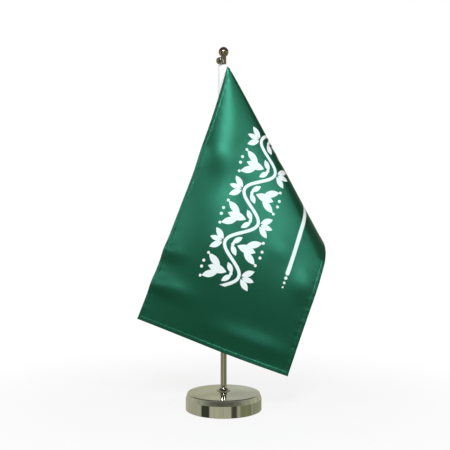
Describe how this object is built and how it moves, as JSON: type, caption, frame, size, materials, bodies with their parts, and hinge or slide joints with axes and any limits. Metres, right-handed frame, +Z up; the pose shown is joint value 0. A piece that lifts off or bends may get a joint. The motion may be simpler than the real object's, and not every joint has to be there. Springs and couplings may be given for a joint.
{
  "type": "desk flag stand",
  "caption": "Small desk flag on a weighted round chrome base: telescopic pole with ball finial and side knob, and a draped green satin flag on a white hoist sleeve.",
  "frame": {"origin": "centre of the underside of the base pad, on the desk", "axes": "+Z up along the pole, +X to the right and -Y to the front as the flag is seen with its top corner at the pole"},
  "size_m": [0.2119, 0.0916, 0.412],
  "materials": {
    "foam_pad": "matt closed-cell foam",
    "chrome_base": "polished, warm grey",
    "iron_weight": "rough cast",
    "zinc_steel": "zinc plated",
    "spring_steel": "oiled spring steel",
    "chrome_pole": "polished tube",
    "brass_insert": "turned",
    "nylon_bush": "natural nylon",
    "chrome_finial": "polished, slightly bronze",
    "white_braid": "braided polyester",
    "white_ribbon": "plain-woven ribbon",
    "green_satin": "polyester satin with a white print"
  },
  "bodies": {
    "stand": {"base_pad": "foam_pad", "base_shell": "chrome_base", "base_weight": "iron_weight", "clamp_washer": "zinc_steel", "lock_washer": "spring_steel", "base_screw": "zinc_steel", "pole_collar": "chrome_pole", "outer_tube": "chrome_pole", "pole_plug": "brass_insert"},
    "slider": {"friction_bush": "nylon_bush"},
    "upper_pole": {"end_plug": "brass_insert", "inner_tube": "chrome_pole", "top_plug": "brass_insert", "hook_knob": "chrome_finial", "hanging_loop": "white_braid", "flag_sleeve": "white_ribbon", "flag_panel": "green_satin"},
    "finial_thread": {"finial_stud": "zinc_steel"},
    "finial": {"finial_ball": "chrome_finial"}
  },
  "joints": [
    {"name": "pole_extend", "type": "slide", "parent": "stand", "child": "slider", "axis": [0, 0, 1], "range_m": [-0.04, 0.0348]},
    {"name": "pole_swivel", "type": "hinge", "parent": "slider", "child": "upper_pole", "pos_m": [0, 0, 0.2], "axis": [0, 0, 1], "continuous": true},
    {"name": "finial_rise", "type": "slide", "parent": "upper_pole", "child": "finial_thread", "axis": [0, 0, 1], "range_m": [0, 0.0081]},
    {"name": "finial_turn", "type": "hinge", "parent": "finial_thread", "child": "finial", "pos_m": [0, 0, 0.4], "axis": [0, 0, 1], "range_deg": [0, 6480]}
  ],
  "couplings": [
    {"joint": "finial_rise", "follows": "finial_turn", "m_per_rad": 0.00007162}
  ]
}
